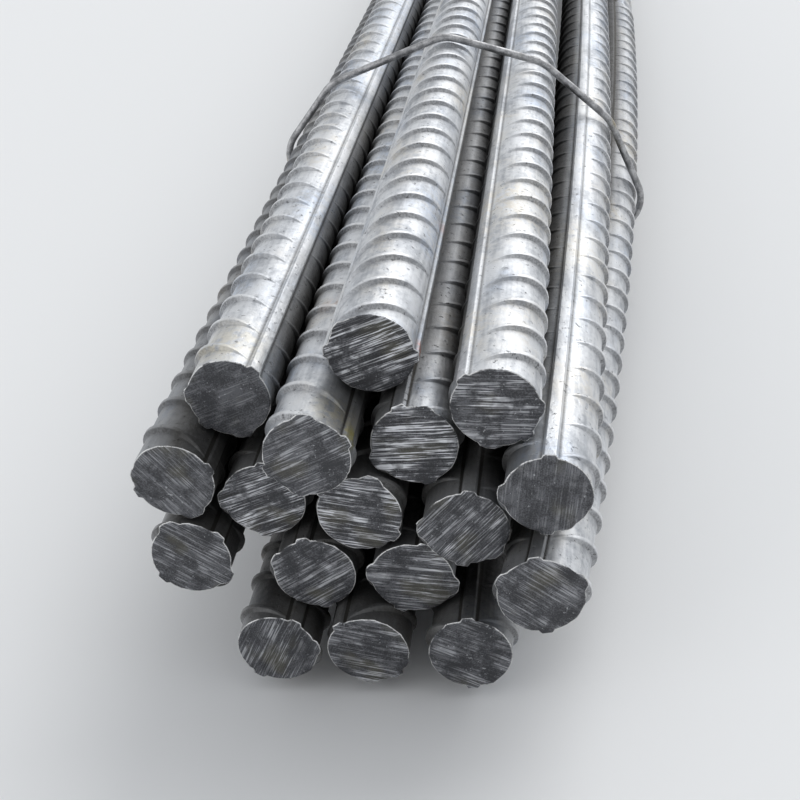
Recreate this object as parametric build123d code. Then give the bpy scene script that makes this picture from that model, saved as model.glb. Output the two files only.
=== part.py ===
from build123d import *
import os
from math import cos, hypot, radians, sin, sqrt

# A bundle of ribbed reinforcing bars, tied with three loops of annealed wire.
# Millimetres. The bars run along Y with the uneven sawn ends at -Y, Z is up, and the bundle
# lies on the undersides of its wire loops.

# The stock
bar_length = 3000.0    # a merchant's length
bar_dia = 16.0         # nominal round: the size the bar is sold and weighed by
lug_width = 2.0        # the two flat-topped ribs that run along the whole bar
lug_height = 0.45      # above the nominal round
rib_height = 0.95      # the cross ribs, which are not modelled here, above the nominal round
end_slope = 1.0        # scales the slant of the saw cuts, 0 makes them all square

# The stack
rib_standoff = 0.85    # the cross ribs keep neighbouring bars this far apart
gap_bottom_left = 1.8  # between the nominal rounds of the bottom row
gap_bottom_right = 3.5
gap_loose_left = 7.7   # bar 11 hangs in the wire this far from bar 15
gap_loose_right = 5.5  # and bar 14 this far from bar 17

# Two bars of the right side bow outwards behind their sawn ends
bow_length = 1400.0    # from the datum of the sawn ends to where they are back in the stack
bow_steps = 14         # straight runs in a bow
bows = {4: 0.049, 14: 0.111}    # each one's slope to the right at the datum

# The wire
wire_dia = 2.0
wire_sides = 8         # its section has flats, which keeps the model light
wire_seat = 0.05       # between the wire and the tips of the cross ribs
tie_inset = 175.0      # from the datum of the sawn ends to the first loop
tie_inset_back = 200.0
twist_radius = 1.12    # from the axis of the twist to the middle of each strand
twist_pitch = 6.5
twist_turns = 3.5
twist_steps = 8        # straight pieces in each turn

# Each bar in turn: how far its end is set back, the clock angle of its lugs in degrees from
# +X, and the slant of its cut, as degrees to the side and upwards.
ends = {
    1: (14.0, 43, 1.5, -1.0),
    2: (12.0, 172, -1.0, 2.0),
    3: (5.0, 130, 1.0, 1.5),
    4: (0.0, 84, -1.5, 0.5),
    5: (-0.5, 20, 0.0, 0.0),
    6: (6.5, 104, 0.5, -1.5),
    7: (6.5, 18, 2.0, 1.0),
    8: (8.5, 82, -1.0, 1.0),
    9: (4.0, 140, 1.5, -0.5),
    10: (1.5, 80, -2.0, 1.5),
    11: (5.5, 36, 1.0, -2.0),
    12: (5.5, 98, -0.5, 1.0),
    13: (4.0, 66, 1.0, 1.0),
    14: (-4.5, 94, -1.5, -1.5),
    15: (1.0, 54, 2.0, 0.5),
    16: (0.0, 128, 0.5, 1.5),
    17: (-1.5, 88, -1.0, -1.0),
}

body_radius = bar_dia / 2
crest_radius = body_radius + lug_height
seat = bar_dia + rib_standoff
loop_radius = body_radius + rib_height + wire_seat + wire_dia / 2
twist_offset = 0.45 * wire_dia    # the twist's axis lies this far outside the loop


def beside(bar, bearing, gap=rib_standoff):
    """Middle of a bar that lies a gap from another one, at a bearing in degrees from +X."""
    reach = bar_dia + gap
    return (bar[0] + reach * cos(radians(bearing)), bar[1] + reach * sin(radians(bearing)))


def nested(left, right):
    """Middle of a bar that lies in the groove on top of two others."""
    across, up = right[0] - left[0], right[1] - left[1]
    half = hypot(across, up) / 2
    rise = sqrt(seat**2 - half**2)
    return (
        (left[0] + right[0]) / 2 - up / (2 * half) * rise,
        (left[1] + right[1]) / 2 + across / (2 * half) * rise,
    )


def stack_bars():
    """X and Z of each bar, from the bottom row upwards."""
    at = {16: (0.0, 0.0)}
    at[15] = beside(at[16], 180, gap_bottom_left)
    at[17] = beside(at[16], 0, gap_bottom_right)

    at[11] = beside(at[15], 127, gap_loose_left)
    at[12] = nested(at[15], at[16])
    at[13] = nested(at[16], at[17])
    at[14] = beside(at[17], 47, gap_loose_right)

    at[8] = beside(at[12], 117)
    at[7] = nested(at[11], at[8])
    at[9] = beside(at[13], 118)
    at[10] = nested(at[13], at[14])

    at[5] = beside(at[9], 112)
    at[6] = nested(at[9], at[10])
    at[4] = beside(at[10], 27)

    at[1] = nested(at[7], at[5])
    at[2] = nested(at[5], at[6])
    at[3] = nested(at[6], at[4])
    return at


def bar_section(lug_angle):
    """Nominal round with its two opposite lugs, which start inside the round."""
    root = lug_height
    lug = Rectangle(lug_height + root, lug_width)
    section = Circle(body_radius)
    for turn in (lug_angle, lug_angle + 180):
        section += Rot(0, 0, turn) * Pos(crest_radius - (lug_height + root) / 2, 0) * lug
    return section


def bowed_by(bar, y):
    """How far a bar lies to the right of its place in the stack."""
    share = min(y / bow_length, 1)
    return bows.get(bar, 0) * bow_length * share * (1 - share) ** 2


def bar_line(bar, middle, behind, ahead):
    """The line that a bar runs along, from a place behind the stack to one ahead of it."""
    x, z = middle
    if bar not in bows:
        return Line((x, behind, z), (x, ahead, z))
    run = (bow_length - ahead) / bow_steps
    bow = [bow_length - step * run for step in range(bow_steps + 1)]
    return Polyline((x, behind, z), *((x + bowed_by(bar, y), y, z) for y in bow))


def make_bar(bar, middle, set_back, lug_angle, side_slant, up_slant):
    """One bar, cut to length at both ends by parallel saw cuts."""
    x, z = middle
    spare = 2 * bar_dia
    back = set_back + bar_length
    face = Plane((x, back + spare, z), x_dir=(1, 0, 0), z_dir=(0, -1, 0))
    path = bar_line(bar, middle, back + spare, -spare)
    stock = sweep(face * bar_section(lug_angle), path=path, transition=Transition.RIGHT)
    slant = (sin(radians(side_slant * end_slope)), 1, sin(radians(up_slant * end_slope)))
    stock = split(stock, bisect_by=Plane((x, set_back, z), z_dir=slant), keep=Keep.TOP)
    return split(stock, bisect_by=Plane((x, back, z), z_dir=slant), keep=Keep.BOTTOM)


def outermost(middles):
    """The bars that a tight loop bears on, in order round the stack."""
    chains = []
    for line in (sorted(middles), sorted(middles, reverse=True)):
        chain = []
        for bar in line:
            while len(chain) > 1 and turn_left(chain[-2], chain[-1], bar) < bar_dia:
                chain.pop()
            chain.append(bar)
        chains += chain[:-1]
    return chains


def turn_left(first, second, third):
    """Twice the area of three bars' triangle: near zero where they lie in line."""
    return (second[0] - first[0]) * (third[1] - first[1]) - (second[1] - first[1]) * (
        third[0] - first[0]
    )


def loop_outline(at):
    """The line that a tight wire takes round the stack: straight runs joined by arcs."""
    core = Polygon(*outermost(at.values()), align=None)
    return offset(core, amount=loop_radius, kind=Kind.ARC)


def wire_along(path, **how):
    """Wire laid along a path."""
    section = RegularPolygon(wire_dia / 2, wire_sides)
    return sweep(Plane(path @ 0, z_dir=path % 0) * section, path=path, **how)


def make_strand(start):
    """One end of the wire: it leaves the loop, which runs along Y here, and twists round Z."""
    foot = twist_radius + 0.75 * wire_dia
    points = [(0, foot * sin(radians(start)), 0)]
    for step in range(round(twist_turns * twist_steps) + 1):
        turn = radians(start + step * 360 / twist_steps)
        points.append((
            twist_radius * cos(turn) - twist_offset,
            twist_radius * sin(turn),
            0.65 * wire_dia + step * twist_pitch / twist_steps,
        ))
    return wire_along(Polyline(*points), transition=Transition.RIGHT)


def make_tie(stack, y):
    """One loop round the stack, with its twist on the left, halfway up bars 7 and 11."""
    at = {bar: (x + bowed_by(bar, y), z) for bar, (x, z) in stack.items()}
    upright = Plane((0, y, 0), x_dir=(1, 0, 0), z_dir=(0, -1, 0))
    tie = wire_along((upright * loop_outline(at)).face().outer_wire())
    left = min(x for x, z in at.values()) - loop_radius
    height = (at[7][1] + at[11][1]) / 2
    folded_back = Plane((left, y, height), x_dir=(1, 0, 0), z_dir=(0, 1, 0))
    for start in (90, 270):
        tie += folded_back * make_strand(start)
    return tie


at = stack_bars()
nodes = {}
for number, end in ends.items():
    nodes[f"bar_{number:02d}"] = make_bar(number, at[number], *end)
tie_places = {
    "tie_front": tie_inset,
    "tie_middle": (tie_inset + bar_length - tie_inset_back) / 2,
    "tie_back": bar_length - tie_inset_back,
}
for name, y in tie_places.items():
    nodes[name] = make_tie(at, y)

# The origin is the middle of the footprint, on the surface that the bundle lies on
box = Compound(children=[piece.solid() for piece in nodes.values()]).bounding_box()
to_origin = Pos(-box.center().X, -box.center().Y, -box.min.Z)

os.makedirs("parts", exist_ok=True)
for name, piece in nodes.items():
    placed = to_origin * piece.solid()
    export_step(placed, f"parts/{name}.step")
    size = placed.bounding_box().size
    print(name, "volume", round(placed.volume), "size", [round(s, 2) for s in (size.X, size.Y, size.Z)])
print("middle of the datum ends", to_origin.position)
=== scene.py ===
import math
import random

import bmesh
import bpy
from mathutils import Matrix, Vector


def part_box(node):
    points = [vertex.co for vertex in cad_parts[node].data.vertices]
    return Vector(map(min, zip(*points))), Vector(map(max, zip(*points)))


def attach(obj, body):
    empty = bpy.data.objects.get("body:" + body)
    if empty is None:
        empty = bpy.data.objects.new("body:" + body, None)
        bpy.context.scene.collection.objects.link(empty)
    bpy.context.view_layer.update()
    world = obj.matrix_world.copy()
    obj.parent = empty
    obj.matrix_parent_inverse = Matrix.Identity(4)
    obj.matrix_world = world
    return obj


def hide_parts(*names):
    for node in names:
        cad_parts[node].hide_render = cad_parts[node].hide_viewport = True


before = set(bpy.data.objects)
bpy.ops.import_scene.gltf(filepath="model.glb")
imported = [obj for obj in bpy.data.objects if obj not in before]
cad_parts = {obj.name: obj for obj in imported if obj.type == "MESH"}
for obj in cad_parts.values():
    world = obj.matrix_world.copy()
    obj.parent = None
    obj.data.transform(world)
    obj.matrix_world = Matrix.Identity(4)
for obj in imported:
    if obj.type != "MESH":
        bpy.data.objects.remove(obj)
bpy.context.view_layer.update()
mm = 0.001
print("frame loaded:", len(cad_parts), "nodes")


class Value:   # one socket: a sum or product of Values adds a Math node
    def __init__(self, finish, socket):
        self.finish = finish
        self.socket = socket

    def maths(self, operation, *others, clamp=False):
        settings = {"operation": operation, "use_clamp": clamp}
        return self.finish.node("ShaderNodeMath", settings, dict(enumerate((self, *others))))

    def __add__(self, other):
        return self.maths("ADD", other)

    def __sub__(self, other):
        return self.maths("SUBTRACT", other)

    def __rsub__(self, other):
        return self.maths("MULTIPLY_ADD", -1.0, other)

    def __mul__(self, other):
        return self.maths("MULTIPLY", other)

    __radd__ = __add__
    __rmul__ = __mul__

    def limited(self):   # kept between 0 and 1
        return self.maths("ADD", 0.0, clamp=True)

    def ramp(self, low, high):   # 0 below low, 1 above high, smooth between
        return self.finish.node("ShaderNodeMapRange", {"interpolation_type": "SMOOTHSTEP"}, {
            "Value": self, "From Min": low, "From Max": high,
        })


class Finish:   # the nodes of one material, or of the world
    def __init__(self, owner):
        self.owner = owner
        owner.use_nodes = True
        self.tree = owner.node_tree
        self.tree.nodes.clear()

    def node(self, kind, settings=None, inputs=None, output=0):
        made = self.tree.nodes.new(kind)
        for key, value in (settings or {}).items():
            setattr(made, key, value)
        for key, value in (inputs or {}).items():
            if isinstance(value, Value):
                self.tree.links.new(value.socket, made.inputs[key])
            else:
                made.inputs[key].default_value = value
        return Value(self, made.outputs[output]) if made.outputs else None

    def place(self):   # in the row frame, in metres
        return self.node("ShaderNodeTexCoord", output="Object")

    def attribute(self, name, output="Fac"):
        return self.node("ShaderNodeAttribute", {"attribute_name": name}, output=output)

    def vectors(self, operation, first, second, output="Vector"):
        inputs = {0: first, 1: second}
        return self.node("ShaderNodeVectorMath", {"operation": operation}, inputs, output)

    def stretched(self, where, x, y, z):   # under 1 draws a pattern out along that axis
        return self.vectors("MULTIPLY", where, (x, y, z))

    def noise(self, where, scale, detail=2.0, roughness=0.5, distortion=0.0):
        return self.node("ShaderNodeTexNoise", None, {
            "Vector": where, "Scale": scale, "Detail": detail, "Roughness": roughness,
            "Distortion": distortion,
        })

    def nearness(self, where, point, radius):   # 1 close to the point, 0 beyond the radius
        return 1 - self.vectors("DISTANCE", where, point, "Value").ramp(0.15 * radius, radius)

    def mixed(self, share, first, second):   # sockets 6, 7 and 2 of a Mix node are its colours
        return self.node("ShaderNodeMix", {"data_type": "RGBA"}, {0: share, 6: first, 7: second}, 2)

    def bumped(self, height, distance, strength):
        return self.node("ShaderNodeBump", None, {
            "Height": height, "Distance": distance, "Strength": strength,
        })

    def shade(self, inputs):
        shader = self.node("ShaderNodeBsdfPrincipled", None, inputs)
        self.node("ShaderNodeOutputMaterial", None, {"Surface": shader})
        return self.owner


rolledSteel = {
    # The worn colour also paints glints, the flank colour also paints shadow, and the grime colour
    # is painted shade
    "light": (0.66, 0.67, 0.685, 1), "dark": (0.36, 0.375, 0.40, 1), "wornAndGlint": (0.80, 0.80, 0.80, 1),
    "flankScrapeAndShade": (0.22, 0.22, 0.225, 1), "pit": (0.11, 0.11, 0.115, 1), "warm": (0.55, 0.47, 0.33, 1),
    "cool": (0.40, 0.475, 0.60, 1), "paintedShade": (0.05, 0.047, 0.043, 1),
    "warmth": 0.45, "coolness": 0.5, "pitting": 0.6,   # how strong each is at most
    "metallic": 0.85, "bump": 0.24 * mm,
    # noise scales, to the metre
    "broad": 55.0, "patches": 170.0, "streaks": 1300.0, "mottle": 560.0, "grain": 2100.0,
    "pits": 900.0,
    # stains: place in the row frame in mm, radius in mm, colour and strength
    "stains": [
        ((-8.5, -1500.5, 60.0), 7.5, (0.66, 0.60, 0.44, 1), 0.60),
        ((-6.4, -1503.0, 57.5), 3.4, (0.58, 0.52, 0.18, 1), 0.95),
        ((-31.1, -1484.0, 67.5), 13.0, (0.60, 0.52, 0.34, 1), 0.35),
        ((5.1, -1490.4, 66.7), 2.6, (0.68, 0.20, 0.10, 1), 0.90),
        ((26.9, -1420.0, 53.5), 26.0, (0.62, 0.57, 0.46, 1), 0.30),
        ((4.9, -1440.0, 66.8), 4.0, (0.50, 0.25, 0.17, 1), 0.45),
        ((-15.1, -1462.0, 62.0), 5.0, (0.42, 0.26, 0.17, 1), 0.40),
    ],
}


def makeRolledSteel():
    steel = rolledSteel
    f = Finish(bpy.data.materials.new("rolledSteel"))
    at = f.place()
    relief = f.attribute("relief")         # 1 on the crests of the ribs
    flankScrapeAndShade = f.attribute("flankScrapeAndShade")           # the sides of the ribs, darkened for scrape and painted shadow
    seam = f.attribute("seam")             # the feet of the lugs, where a dark line of shade is painted
    shadeToPaint = f.attribute("shadeToPaint")   # painted shade: how far other bars close the place in, with more on low bars
    broad = f.noise(f.stretched(at, 1.0, 0.5, 1.0), steel["broad"], 3.0, 0.6)
    patches = f.noise(f.stretched(at, 1.0, 0.35, 1.0), steel["patches"], 4.0, 0.62)
    streaks = f.noise(f.stretched(at, 1.0, 0.05, 1.0), steel["streaks"])
    mottle = f.noise(at, steel["mottle"], 4.0, 0.65)
    grain = f.noise(at, steel["grain"], 3.0, 0.65)
    pits = f.noise(at, steel["pits"], 3.0, 0.65).ramp(0.62, 0.71)

    tone = patches * 0.45 + streaks * 0.15 + mottle * 0.25 + broad * 0.15
    colour = f.mixed(tone.ramp(0.38, 0.56), steel["dark"], steel["light"])
    tint = broad.ramp(0.50, 0.72) * mottle.ramp(0.35, 0.60) * steel["warmth"]
    colour = f.mixed(tint, colour, steel["warm"])
    tint = (1 - broad.ramp(0.34, 0.50)) * mottle.ramp(0.40, 0.60) * steel["coolness"]
    colour = f.mixed(tint, colour, steel["cool"])
    # Rib and lug crests lightened: rubbed wear, and painted glints
    colour = f.mixed(relief.ramp(0.7, 1.0) * (0.15 + grain * 0.45), colour, steel["wornAndGlint"])
    # The ribs' sides darkened: partly scraped scale, partly painted shadow on the sides and feet
    # facing the ends
    scrapeAndShade = flankScrapeAndShade * (0.42 + grain.ramp(0.35, 0.65) * 0.45)
    colour = f.mixed(scrapeAndShade.limited(), colour, steel["flankScrapeAndShade"])
    for (x, y, z), radius, stain, strength in steel["stains"]:
        near = f.nearness(at, (x * mm, y * mm, z * mm), radius * mm)
        colour = f.mixed(near * mottle.ramp(0.36, 0.58) * strength, colour, stain)
    colour = f.mixed(pits * steel["pitting"], colour, steel["pit"])
    # Painted shade where other bars close the skin in and less light reaches it
    gapShade = shadeToPaint.ramp(0.17, 0.82) * (0.75 + mottle * 0.3)
    # Painted shade along the lugs' feet
    lugFootShade = seam.ramp(0.45, 1.0) * (0.3 + grain * 0.5)
    paintedShade = (gapShade + lugFootShade).limited()
    colour = f.mixed(paintedShade, colour, steel["paintedShade"])

    roughness = 0.30 + paintedShade * 0.15 + patches * 0.14 + grain * 0.12 + mottle * 0.12
    roughness = roughness + flankScrapeAndShade * 0.14 + pits * 0.2
    height = mottle * 0.8 + grain * 0.3 - pits * 0.8 + streaks * 0.12
    return f.shade({
        "Base Color": colour, "Roughness": roughness.limited(), "Metallic": steel["metallic"],
        "Normal": f.bumped(height, steel["bump"], 0.75),
    })


sawnSteel = {
    "dark": (0.042, 0.043, 0.048, 1), "mid": (0.135, 0.138, 0.15, 1),
    "bright": (0.84, 0.85, 0.88, 1), "dug": (0.02, 0.02, 0.02, 1),
    "olive": (0.125, 0.118, 0.085, 1), "rim": (0.78, 0.78, 0.77, 1), "bump": 0.26 * mm,
    # noise scales, to the metre
    "strokes": 3400.0, "steps": 1000.0, "patches": 230.0, "blots": 120.0, "grain": 3600.0,
    "specks": 1700.0,
}


def makeSawnSteel():
    steel = sawnSteel
    f = Finish(bpy.data.materials.new("sawnSteel"))
    cut = f.attribute("sawn", "Vector")   # along the saw's strokes, across them, and bar by bar
    rim = f.attribute("rim")
    struck = f.attribute("struck")        # how strongly the saw has marked this bar
    strokes = f.noise(f.stretched(cut, 0.04, 1.0, 1.0), steel["strokes"], 3.0, 0.6, 0.25)
    steps = f.noise(f.stretched(cut, 0.09, 1.0, 1.0), steel["steps"], 2.0, 0.5, 0.3)
    patches = f.noise(cut, steel["patches"], 3.0, 0.6)
    blots = f.noise(cut, steel["blots"])
    grain = f.noise(cut, steel["grain"], 2.0, 0.6)
    shown = (patches.ramp(0.43, 0.58) * 0.7 + blots.ramp(0.44, 0.58) * 0.5) * struck
    lines = strokes * 0.72 + steps * 0.28

    tone = (lines - 0.5) * struck * 0.6 + grain * 0.45 + patches * 0.55
    colour = f.mixed(tone.ramp(0.40, 0.60), steel["dark"], steel["mid"])
    colour = f.mixed(blots.ramp(0.54, 0.70) * 0.55, colour, steel["olive"])
    dug = (1 - lines.ramp(0.38, 0.47)) * (struck * 0.25 + shown * 0.7)
    colour = f.mixed((dug * 0.75).limited(), colour, steel["dug"])
    shiny = (lines.ramp(0.50, 0.59) * shown * 1.25).limited()
    specks = f.noise(cut, steel["specks"]).ramp(0.66, 0.74) * (1 - blots.ramp(0.44, 0.54)) * 0.4
    colour = f.mixed((shiny * 0.9 + specks).limited(), colour, steel["bright"])
    edge = rim.ramp(0.2, 0.75) * patches.ramp(0.37, 0.50) * grain.ramp(0.27, 0.46)
    colour = f.mixed(edge, colour, steel["rim"])

    metallic = 0.25 + shiny * 0.4 + edge * 0.4
    height = lines * (0.2 + shown * 0.8) + patches * 0.6
    return f.shade({
        "Base Color": colour, "Roughness": 0.38 + blots * 0.16 + grain * 0.1,
        "Metallic": metallic.limited(), "Normal": f.bumped(height, steel["bump"], 0.8),
    })


wireSteel = {
    "light": (0.50, 0.50, 0.505, 1), "dark": (0.23, 0.23, 0.235, 1), "rust": (0.42, 0.34, 0.17, 1),
    "rusting": 0.7, "metallic": 0.85, "bump": 0.06 * mm,
    "patches": 420.0, "grain": 2600.0, "rustSpots": 90.0,   # noise scales, to the metre
}


def makeWireSteel():
    steel = wireSteel
    f = Finish(bpy.data.materials.new("wireSteel"))
    at = f.place()
    patches = f.noise(at, steel["patches"], 3.0, 0.6)
    grain = f.noise(at, steel["grain"], 2.0, 0.6)
    tone = patches * 0.7 + grain * 0.3
    colour = f.mixed(tone.ramp(0.38, 0.62), steel["dark"], steel["light"])
    spots = f.noise(at, steel["rustSpots"]).ramp(0.60, 0.72)
    colour = f.mixed(spots * steel["rusting"], colour, steel["rust"])
    return f.shade({
        "Base Color": colour, "Roughness": 0.36 + grain * 0.2, "Metallic": steel["metallic"],
        "Normal": f.bumped(grain + patches, steel["bump"], 0.6),
    })


barFinish = makeRolledSteel()
cutFinish = makeSawnSteel()
wireFinish = makeWireSteel()
print("finishes made")


stock = {
    "nominal": 8 * mm, "core": 7.75 * mm,   # radii: the one it is sold by, and between its ribs
    "lug": 0.62 * mm, "lugHalf": 1.0 * mm, "lugFoot": 1.45 * mm,
    "lugEdge": [(0.12 * mm, 0.18 * mm), (-0.14 * mm, 0.0)],   # outwards, and down from its top
    "rib": 0.98 * mm, "ribFoot": 2.7 * mm, "ribEnd": 0.35,    # the share of its foot at the lugs
    "pitch": 10.0 * mm, "slant": 0.45,      # slant: along the bar for each step round it
    "length": 3.0,
    # length of the finer ribs: at the front of most bars, of those inside the stack, and behind
    "frontFine": 0.37, "hiddenFine": 0.115, "backFine": 0.085,
}
# Each bar: turn of its upper lug in degrees; first rib on the side after it and on the side before
# it, in mm from the datum of the ends; slant of its cut to the side and upwards in degrees; turn of
# the saw's strokes in degrees; how strongly the saw has marked it.
bars = {
    1: (43, 5.9, 6.0, 1.5, -1.0, 20, 0.15),
    2: (172, 1.1, 9.3, -1.0, 2.0, 18, 1.1),
    3: (130, 7.2, 6.4, 1.0, 1.5, -4, 0.65),
    4: (84, 4.1, 0.5, -1.5, 0.5, 80, 0.15),
    5: (20, 5.6, 1.2, 0.0, 0.0, 23, 0.4),
    6: (104, 0.2, 4.5, 0.5, -1.5, 0, 1.2),
    7: (18, 7.1, 0.9, 2.0, 1.0, -55, 0.25),
    8: (82, 2.4, 7.2, -1.0, 1.0, 18, 0.95),
    9: (140, 4.1, 9.3, 1.5, -0.5, -12, 0.9),
    10: (80, 5.2, 3.6, -2.0, 1.5, 45, 0.55),
    11: (36, 1.0, 0.8, 1.0, -2.0, -35, 0.4),
    12: (98, 2.0, 4.7, -0.5, 1.0, 30, 0.5),
    13: (66, 7.5, 8.8, 1.0, 1.0, -8, 0.6),
    14: (94, 1.9, 1.3, -1.5, -1.5, -40, 0.3),
    15: (54, 0.9, 7.6, 2.0, 0.5, 60, 0.4),
    16: (128, 1.4, 0.2, 0.5, 1.5, -15, 0.5),
    17: (88, 7.0, 8.6, -1.0, -1.0, -28, 0.4),
}
hiddenBars = {8, 9, 10, 12, 13, 16}
datum = -1504.716 * mm   # the ends' datum in the row frame
# Bars that bow to the right behind their ends: place across in mm, and slope at the datum
bows = {4: (26.035, 0.049), 14: (24.164, 0.111)}
bowLength = 1.4
# Rows over each rib: place in halves of its foot, or None for half way to the next rib; height as
# a share of the rib's; and its scrape and painted shadow, most on the side to the ends. Then how
# many columns stand between two lugs, and whether a lug's edges are rounded.
fine = {
    "rows": [
        (-1.0, 0.0, 0.45), (-0.84, 0.10, 1.0), (-0.50, 0.84, 1.0), (-0.32, 1.0, 0.0),
        (0.32, 1.0, 0.0), (0.50, 0.84, 0.5), (0.84, 0.10, 0.8), (1.0, 0.0, 0.0), (None, 0.0, 0.0),
    ],
    "between": 17, "rounded": True,
}
coarse = {
    "rows": [(-0.8, 0.0, 0.0), (0.0, 1.0, 0.0), (0.8, 0.0, 0.0)],
    "between": 4, "rounded": False,
}
# Painted shade: the skin darkened where other bars close it in, more on low bars and on bars 7 and
# 11
paintedShadeSettings = {
    "low": 0.28, "lowHeight": 60 * mm,    # more painted shade on the lower bars, up to this height
    "bars": {7: 0.44, 11: 0.26},          # and on these two
    "atEnds": 0.45, "fade": 60 * mm,      # less of it between the bars near their ends
    "looks": 36, "down": 0.5,             # directions a place looks in, and what those down count
}
sawCut = {
    "rim": 0.24 * mm, "back": (0.10, 0.26), "out": (-0.06, 0.10),   # its ragged rim, in mm
    "apart": 0.037,                       # from one bar's pattern to the next
    "behind": 90,                         # degrees from the front strokes to those behind
}
closeness = {"cut": 1e-7, "plane": 0.001 * mm, "same": 0.01 * mm, "joint": 0.02 * mm}


def sectionColumns(detail):
    # Each column: angle from the upper lug, radius of the plain core or lug, which side's ribs it
    # follows, and whether it is on a lug
    core, lugFoot = stock["core"], stock["lugFoot"]
    foot = math.asin(lugFoot / core)
    edges = [(stock["lugHalf"] + out, core + stock["lug"] - down) for out, down in stock["lugEdge"]]
    if not detail["rounded"]:
        edges = edges[1:]
    corners = [(lugFoot, math.sqrt(core ** 2 - lugFoot ** 2))] + edges
    columns = []
    for half in (0, 1):
        turn = half * math.pi
        for across, out in reversed(corners):   # from the lug's top down to its foot
            angle = turn + math.atan2(across, out)
            columns.append((angle, math.hypot(across, out), half, True))
        for step in range(1, detail["between"] + 1):
            angle = foot + (math.pi - 2 * foot) * step / (detail["between"] + 1)
            columns.append((turn + angle, core, half, False))
        for across, out in corners:             # and up the next lug
            angle = turn + math.pi - math.atan2(across, out)
            columns.append((angle, math.hypot(across, out), half, True))
    return columns


def ribHeight(angle):   # share of the full height: none at the lugs, all of it half way
    foot = math.asin(stock["lugFoot"] / stock["core"])
    share = (angle - foot) / (math.pi - 2 * foot)
    return max(0.0, 1 - (2 * share - 1) ** 2) ** 1.25


def bowedBy(number, y):
    if number not in bows:
        return 0.0
    share = min(1.0, (y - datum) / bowLength)
    return bows[number][1] * bowLength * share * (1 - share) ** 2


def shelterOf(number, x, y, z):
    # Share of the outlook from a place on this bar's skin that other bars take up
    own = axes[number]
    outX, outZ = x - own.x, z - own.z
    x += bowedBy(number, y)
    blocked, total = 0.0, 0.0
    for look in range(paintedShadeSettings["looks"]):
        turn = math.radians((look + 0.5) * 360 / paintedShadeSettings["looks"])
        along, up = math.cos(turn), math.sin(turn)
        weight = (along * outX + up * outZ) * (1.0 if up > 0 else paintedShadeSettings["down"])
        if weight <= 0:
            continue
        total += weight
        for other, middle in axes.items():
            toX, toZ = middle.x + bowedBy(other, y) - x, middle.z - z
            missedBy = abs(toX * up - toZ * along)
            if other != number and toX * along + toZ * up > 0 and missedBy < stock["core"]:
                blocked += weight
                break
    return blocked / total


def barSkin(number, lugTurn, starts, low, high, rows, columns):
    # Rings of points that follow the slant of the ribs, from below low to above high
    axis = axes[number]
    pitch, core = stock["pitch"], stock["core"]
    alongPerTurn = stock["slant"] * stock["nominal"]
    spill = alongPerTurn * math.pi + pitch
    starts = list(starts)
    starts[1] += pitch * round((starts[0] - starts[1]) / pitch)
    first = math.floor((low - max(starts) - spill) / pitch)
    last = math.ceil((high - min(starts) + pitch) / pitch)

    # painted shade: more on the low bars and on bars 7 and 11
    baseShade = paintedShadeSettings["low"] * max(0.0, 1 - axis.z / paintedShadeSettings["lowHeight"]) + paintedShadeSettings["bars"].get(number, 0.0)
    midway = max(low, datum) + 0.2 * (high - max(low, datum))   # stands for the whole skin
    shelter = []
    for angle, radius, half, onLug in columns:
        theta = lugTurn + angle
        x, z = axis.x + radius * math.cos(theta), axis.z + radius * math.sin(theta)
        shelter.append(shelterOf(number, x, midway, z))

    points, relief, flankScrapeAndShade, seam, shadeToPaint, faces = [], [], [], [], [], []
    for turn in range(first, last + 1):
        for place, height, scrapeAndShade in rows:
            for column, (angle, radius, half, onLug) in enumerate(columns):
                fromLug = angle if half == 0 else 2 * math.pi - angle
                swell = 0.0 if onLug else ribHeight(fromLug)
                y = starts[half] + turn * pitch + alongPerTurn * fromLug
                if place is None:
                    y += pitch / 2
                else:
                    width = stock["ribEnd"] + (1 - stock["ribEnd"]) * swell
                    y += place * stock["ribFoot"] / 2 * width
                out = radius + stock["rib"] * swell * height
                theta = lugTurn + angle
                x = axis.x + bowedBy(number, y) + out * math.cos(theta)
                points.append((x, y, axis.z + out * math.sin(theta)))
                relief.append(0.8 if onLug and radius > core else swell * height)
                seam.append(1.0 if onLug and radius < core + closeness["same"] else 0.0)
                flankScrapeAndShade.append(0.0 if onLug else scrapeAndShade * swell ** 2)
                # painted shade, less of it between the bars near their ends
                inside = max(0.0, min(y - datum, datum + stock["length"] - y))
                share = min(1.0, paintedShadeSettings["atEnds"] + inside / paintedShadeSettings["fade"])
                shadeToPaint.append(baseShade + shelter[column] * share)
    across = len(columns)
    for ring in range(len(points) // across - 1):
        for column in range(across):
            a, b = ring * across + column, ring * across + (column + 1) % across
            faces.append((a, a + across, b + across, b))
    layers = {"relief": relief, "flankScrapeAndShade": flankScrapeAndShade, "seam": seam, "shadeToPaint": shadeToPaint}
    return points, faces, layers


def startSkin(points, faces, layers):
    mesh = bpy.data.meshes.new("skin")
    mesh.from_pydata(points, [], faces)
    for name, values in layers.items():
        mesh.attributes.new(name, "FLOAT", "POINT").data.foreach_set("value", values)
    mesh.attributes.new("rim", "FLOAT", "POINT")
    mesh.attributes.new("struck", "FLOAT", "POINT")
    mesh.attributes.new("sawn", "FLOAT_VECTOR", "POINT")
    skin = bmesh.new()
    skin.from_mesh(mesh)
    bpy.data.meshes.remove(mesh)
    for face in skin.faces:
        face.smooth = True
    return skin


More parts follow.
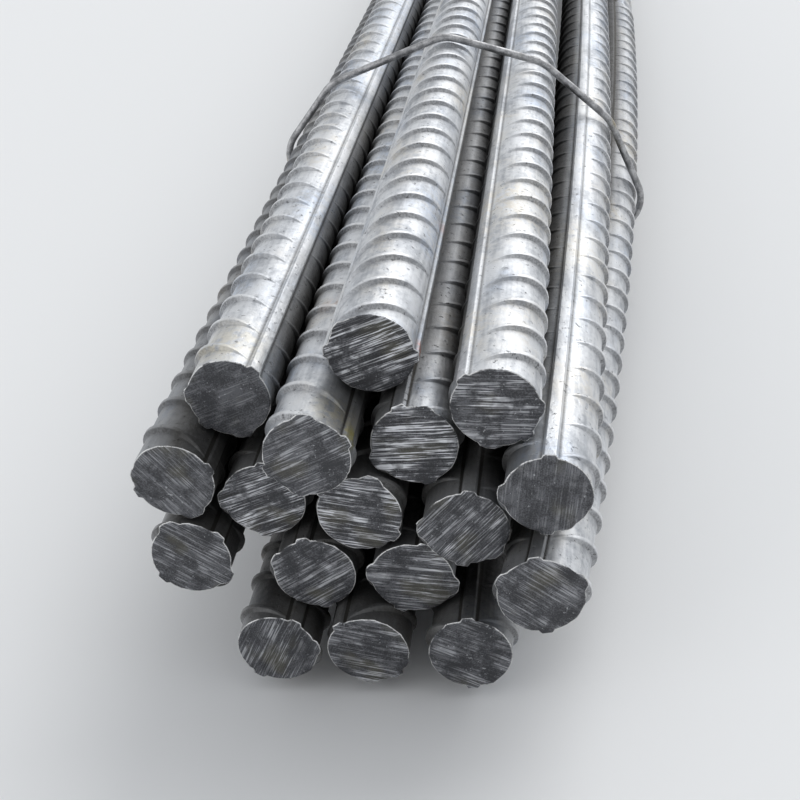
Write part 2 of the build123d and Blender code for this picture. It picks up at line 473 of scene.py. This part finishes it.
def cutOff(skin, point, normal, keepAhead, closed):
    # Cuts the skin by a plane, and at an end of the bar closes it and returns the new face
    def onPlane(vert):
        return abs((vert.co - point).dot(normal)) < closeness["plane"]

    bmesh.ops.bisect_plane(
        skin, geom=skin.verts[:] + skin.edges[:] + skin.faces[:], dist=closeness["cut"],
        plane_co=point, plane_no=normal, clear_inner=keepAhead, clear_outer=not keepAhead,
    )
    rim = [v for v in skin.verts if v.is_boundary and onPlane(v)]
    bmesh.ops.remove_doubles(skin, verts=rim, dist=closeness["same"])
    if not closed:
        return None
    edges = [e for e in skin.edges if e.is_boundary and all(onPlane(v) for v in e.verts)]
    cap = bmesh.ops.contextual_create(skin, geom=edges)["faces"][0]
    cap.smooth = False
    return cap


def dressCut(skin, cap, axis, inward, number, strokeTurn, marked, chance):
    # A ragged bright rim round the cut, and the places for the saw's strokes
    rim, struck = skin.verts.layers.float["rim"], skin.verts.layers.float["struck"]
    sawn = skin.verts.layers.float_vector["sawn"]
    outer = cap.verts[:]
    ring = bmesh.ops.inset_individual(
        skin, faces=[cap], thickness=sawCut["rim"], depth=0.0, use_even_offset=True,
    )["faces"]
    for vert in outer:
        vert.co += inward * (chance.uniform(*sawCut["back"]) * mm)
        away = Vector((vert.co.x - axis.x, 0, vert.co.z - axis.z)).normalized()
        vert.co += away * (chance.uniform(*sawCut["out"]) * mm)
        vert[rim] = 1.0
    c, s = math.cos(math.radians(strokeTurn)), math.sin(math.radians(strokeTurn))
    for vert in outer + cap.verts[:]:
        x, z = vert.co.x - axis.x, vert.co.z - axis.z
        vert[sawn] = (x * c + z * s, z * c - x * s, number * sawCut["apart"])
        vert[struck] = marked
    for face in [cap, *ring]:
        face.material_index = 1


def joinSkins(bar, y):
    # The finer and the coarser skin meet in a narrow step at y
    def openEdges():
        return [e for e in bar.edges
                if e.is_boundary and abs(e.verts[0].co.y - y) < closeness["same"]]

    step = bmesh.ops.bridge_loops(bar, edges=openEdges())["faces"]
    for face in step:
        face.smooth = False
    around = list(dict.fromkeys(v for face in step for v in face.verts))
    bmesh.ops.remove_doubles(bar, verts=around, dist=closeness["joint"])
    doubled = [f for v in around if v.is_valid for f in v.link_faces
               if sum(len(e.link_faces) > 2 for e in f.edges) > 1]
    bmesh.ops.delete(bar, geom=list(dict.fromkeys(doubled)), context="FACES_ONLY")
    bmesh.ops.holes_fill(bar, edges=openEdges(), sides=0)


def findAxis(number):
    low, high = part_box(f"bar_{number:02d}")
    axis = (low + high) / 2
    if number in bows:
        axis.x = bows[number][0] * mm
    return axis


def makeBar(number):
    lugDegrees, startAfter, startBefore, sideCut, upCut, strokeTurn, marked = bars[number]
    axis = axes[number]
    lugTurn = math.radians(lugDegrees)
    starts = [datum + startAfter * mm, datum + startBefore * mm]
    slant = Vector((math.sin(math.radians(sideCut)), 1, math.sin(math.radians(upCut)))).normalized()
    square = Vector((0, 1, 0))
    frontLength = stock["hiddenFine" if number in hiddenBars else "frontFine"]
    front = Vector((axis.x, axis.y - stock["length"] / 2, axis.z))
    back = Vector((axis.x, axis.y + stock["length"] / 2, axis.z))
    frontJoint = Vector((axis.x, datum + frontLength, axis.z))
    backJoint = Vector((axis.x, datum + stock["length"] - stock["backFine"], axis.z))
    chance = random.Random(number)
    mesh = bpy.data.meshes.new(f"ribbedBar{number}")
    bar = bmesh.new()
    for start, end, detail in (
        (front, frontJoint, fine), (frontJoint, backJoint, coarse), (backJoint, back, fine),
    ):
        rows, columns = detail["rows"], sectionColumns(detail)
        skin = startSkin(*barSkin(number, lugTurn, starts, start.y, end.y, rows, columns))
        if detail is coarse:
            for face in skin.faces:   # with so few rows, the ribs' sides only show as flat faces
                face.smooth = face.index // len(columns) % len(rows) == len(rows) - 1
        near = cutOff(skin, start, slant if start is front else square, True, start is front)
        far = cutOff(skin, end, slant if end is back else square, False, end is back)
        if start is front:
            dressCut(skin, near, axis, slant, number, strokeTurn, marked, chance)
        if end is back:
            turned = strokeTurn + sawCut["behind"]
            dressCut(skin, far, axis, -slant, number, turned, marked, chance)
        skin.to_mesh(mesh)
        skin.free()
        bar.from_mesh(mesh)
        mesh.clear_geometry()
    joinSkins(bar, frontJoint.y)
    joinSkins(bar, backJoint.y)
    bmesh.ops.recalc_face_normals(bar, faces=bar.faces[:])
    bar.to_mesh(mesh)
    bar.free()
    mesh.materials.append(barFinish)
    mesh.materials.append(cutFinish)
    piece = bpy.data.objects.new(f"ribbedBar{number}", mesh)
    bpy.context.scene.collection.objects.link(piece)
    even = piece.modifiers.new("evenShading", "WEIGHTED_NORMAL")
    even.mode = "FACE_AREA"
    even.weight = 50
    even.keep_sharp = True
    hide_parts(f"bar_{number:02d}")
    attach(piece, "root")


axes = {number: findAxis(number) for number in bars}
for number in bars:
    makeBar(number)
print("bars made")


tie = {
    "wire": 2.0 * mm, "reach": 10.0 * mm,       # its thickness, and how far off a bar's axis it is
    "inLine": 16e-6,                            # three bars count as in line below this, in m2
    "runStep": 3 * mm, "cornerStep": 9,         # between points on the runs, and in degrees
    "wobble": 0.35 * mm, "waves": (2, 3, 5, 7), "calmEnds": 1 / 8,   # of the loop's length
    "twistRadius": 1.06 * mm, "twistPitch": 6.5 * mm, "twistTurns": 3.5, "twistSteps": 12,
    "twistBehind": 1.2 * mm, "twistOut": 0.9 * mm,   # where the twist starts, off the loop
    "mouth": 1.6 * mm, "mouthDepth": 1.5 * mm,  # room that the loop leaves for the twist's foot
}


def turnsLeft(a, b, c):
    return (b[0] - a[0]) * (c[1] - a[1]) - (b[1] - a[1]) * (c[0] - a[0])


def outerBars(y):
    middles = sorted((a.x + bowedBy(number, y), a.z) for number, a in axes.items())
    chains = []
    for line in (middles, middles[::-1]):
        chain = []
        for bar in line:
            while len(chain) > 1 and turnsLeft(chain[-2], chain[-1], bar) < tie["inLine"]:
                chain.pop()
            chain.append(bar)
        chains += chain[:-1]
    return chains   # anticlockwise seen from the sawn ends


def loopPoints(startHeight, y):
    # Round the outer bars, from the run on the left at the start height and back to it
    corners = outerBars(y)
    points = []
    for i, (x, z) in enumerate(corners):
        before, after = corners[i - 1], corners[(i + 1) % len(corners)]
        fromAngle = math.atan2(z - before[1], x - before[0]) - math.pi / 2
        toAngle = math.atan2(after[1] - z, after[0] - x) - math.pi / 2
        while toAngle < fromAngle:
            toAngle += 2 * math.pi
        steps = max(2, round((toAngle - fromAngle) / math.radians(tie["cornerStep"])))
        for step in range(steps + 1):
            a = fromAngle + (toAngle - fromAngle) * step / steps
            points.append((x + tie["reach"] * math.cos(a), z + tie["reach"] * math.sin(a)))
    dense = []
    for i, (x, z) in enumerate(points):
        toX, toZ = points[(i + 1) % len(points)]
        pieces = max(1, round(math.hypot(toX - x, toZ - z) / tie["runStep"]))
        dense += [(x + (toX - x) * k / pieces, z + (toZ - z) * k / pieces) for k in range(pieces)]
    left = min(x for x, z in dense)

    def fromStart(i):   # being on the left run counts for more than the height
        return abs(dense[i][0] - left) * 5 + abs(dense[i][1] - startHeight)

    start = min(range(len(dense)), key=fromStart)
    return dense[start:] + dense[:start], left


def strandPoints(start, x, y, z):
    points = []
    steps = tie["twistSteps"]
    for step in range(round(tie["twistTurns"] * steps) + 1):
        a = math.radians(start + step * 360 / steps)
        points.append((
            x + tie["twistRadius"] * math.cos(a),
            y + tie["twistBehind"] + step * tie["twistPitch"] / steps,
            z + tie["twistRadius"] * math.sin(a),
        ))
    return points


def makeTie(node, seed):
    low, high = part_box(node)
    y = low.y + tie["wire"] / 2
    chance = random.Random(seed)
    height = (axes[7].z + axes[11].z) / 2
    loop, left = loopPoints(height, y)
    waves = [(chance.uniform(0.5, 1.0), k, chance.uniform(0, 6.28)) for k in tie["waves"]]
    points = []
    for i, (x, z) in enumerate(loop):
        share = i / len(loop)
        fade = min(1.0, share / tie["calmEnds"], (1 - share) / tie["calmEnds"])
        sway = sum(size * math.sin(2 * math.pi * k * share + shift) for size, k, shift in waves) / 2
        points.append((x, y + fade * sway * tie["wobble"], z))
    reach = tie["twistRadius"] + tie["mouth"]
    kept = [p for p in points if p[0] > left + tie["mouthDepth"] or abs(p[2] - height) > reach]
    x = left - tie["twistOut"]
    path = strandPoints(270, x, y, height)[::-1] + kept + strandPoints(90, x, y, height)
    curve = bpy.data.curves.new(node + "Wire", "CURVE")
    curve.dimensions = "3D"
    spline = curve.splines.new("NURBS")
    spline.points.add(len(path) - 1)
    for spot, place in zip(spline.points, path):
        spot.co = (*place, 1)
    spline.order_u = 3
    spline.use_endpoint_u = True
    spline.resolution_u = 2
    curve.bevel_depth = tie["wire"] / 2
    curve.bevel_resolution = 4
    curve.use_fill_caps = True
    curve.materials.append(wireFinish)
    piece = bpy.data.objects.new(node + "Wire", curve)
    bpy.context.scene.collection.objects.link(piece)
    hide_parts(node)
    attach(piece, "root")


for seed, node in enumerate(("tie_front", "tie_middle", "tie_back")):
    makeTie(node, seed)
print("ties made")


studio = {
    "floor": (0.79, 0.79, 0.79, 1), "floorHalf": 15,
    # each lamp's strength, and the width and direction of its light in degrees
    "lamps": {"keyLamp": (1.33, 45, (50, 0, 150)), "fillLamp": (0.4, 45, (64, 0, -58))},
    "sky": (0.94, 0.97, 1.0, 1), "dim": (0.16, 0.165, 0.18, 1), "brightest": (0.35, 0.70, 0.62),
    "backdrop": (0.77, 0.79, 0.815, 1),
}


def makeFloor():
    half = studio["floorHalf"]
    corners = [(-half, -half, 0), (half, -half, 0), (half, half, 0), (-half, half, 0)]
    mesh = bpy.data.meshes.new("floor")
    mesh.from_pydata(corners, [], [(0, 1, 2, 3)])
    floor = bpy.data.objects.new("floor", mesh)
    bpy.context.scene.collection.objects.link(floor)
    f = Finish(bpy.data.materials.new("paleFloor"))
    mesh.materials.append(f.shade({"Base Color": studio["floor"], "Roughness": 0.9}))


def makeLamp(name, strength, angle, turn):
    lamp = bpy.data.lights.new(name, "SUN")
    lamp.energy = strength
    lamp.angle = math.radians(angle)
    holder = bpy.data.objects.new(name, lamp)
    holder.rotation_euler = [math.radians(a) for a in turn]
    bpy.context.scene.collection.objects.link(holder)


def makeSky():
    # A soft sky lights the bundle, and the plain backdrop is what the camera and gloss see
    world = bpy.data.worlds.new("softSky")
    bpy.context.scene.world = world
    f = Finish(world)
    outwards = f.node("ShaderNodeTexCoord", output="Generated")
    facing = f.vectors("DOT_PRODUCT", outwards, studio["brightest"], "Value")
    glow = f.mixed(facing.ramp(-0.5, 0.9), studio["dim"], studio["sky"])
    sky = f.node("ShaderNodeBackground", None, {"Color": glow, "Strength": 1.0})
    plain = f.node("ShaderNodeBackground", None, {"Color": studio["backdrop"], "Strength": 1.0})
    seen = f.node("ShaderNodeLightPath", output="Is Camera Ray")
    seen = seen + f.node("ShaderNodeLightPath", output="Is Glossy Ray")
    seen = seen + f.node("ShaderNodeLightPath", output="Is Transmission Ray")
    shown = f.node("ShaderNodeMixShader", None, {0: seen.limited(), 1: sky, 2: plain})
    f.node("ShaderNodeOutputWorld", None, {"Surface": shown})


# The photo's angle: focal length in pixels of its width, turns in degrees, place in mm
view = {
    "focal": 1287.3, "imageWidth": 800, "sensor": 36, "nearest": 0.01,
    "yaw": 10.69, "pitch": 30.07, "roll": -8.34, "place": (37.2, -1685.7, 172.0),
}


def makeCamera():
    yaw, pitch, roll = (math.radians(view[k]) for k in ("yaw", "pitch", "roll"))
    ahead = Vector((
        -math.sin(yaw) * math.cos(pitch), math.cos(yaw) * math.cos(pitch), -math.sin(pitch),
    ))
    level = Vector((math.cos(yaw), math.sin(yaw), 0))
    up = level.cross(ahead)
    right = level * math.cos(roll) + up * math.sin(roll)
    top = up * math.cos(roll) - level * math.sin(roll)
    place = Vector(view["place"]) * mm
    data = bpy.data.cameras.new("camera")
    data.lens = view["focal"] / view["imageWidth"] * view["sensor"]
    data.sensor_width = view["sensor"]
    data.clip_start = view["nearest"]
    camera = bpy.data.objects.new("camera", data)
    camera.matrix_world = Matrix((
        (right.x, top.x, -ahead.x, place.x),
        (right.y, top.y, -ahead.y, place.y),
        (right.z, top.z, -ahead.z, place.z),
        (0, 0, 0, 1),
    ))
    bpy.context.scene.collection.objects.link(camera)
    bpy.context.scene.camera = camera


makeFloor()
for name, lamp in studio["lamps"].items():
    makeLamp(name, *lamp)
makeSky()
makeCamera()
bpy.context.scene.view_settings.view_transform = "Standard"
print("studio made")
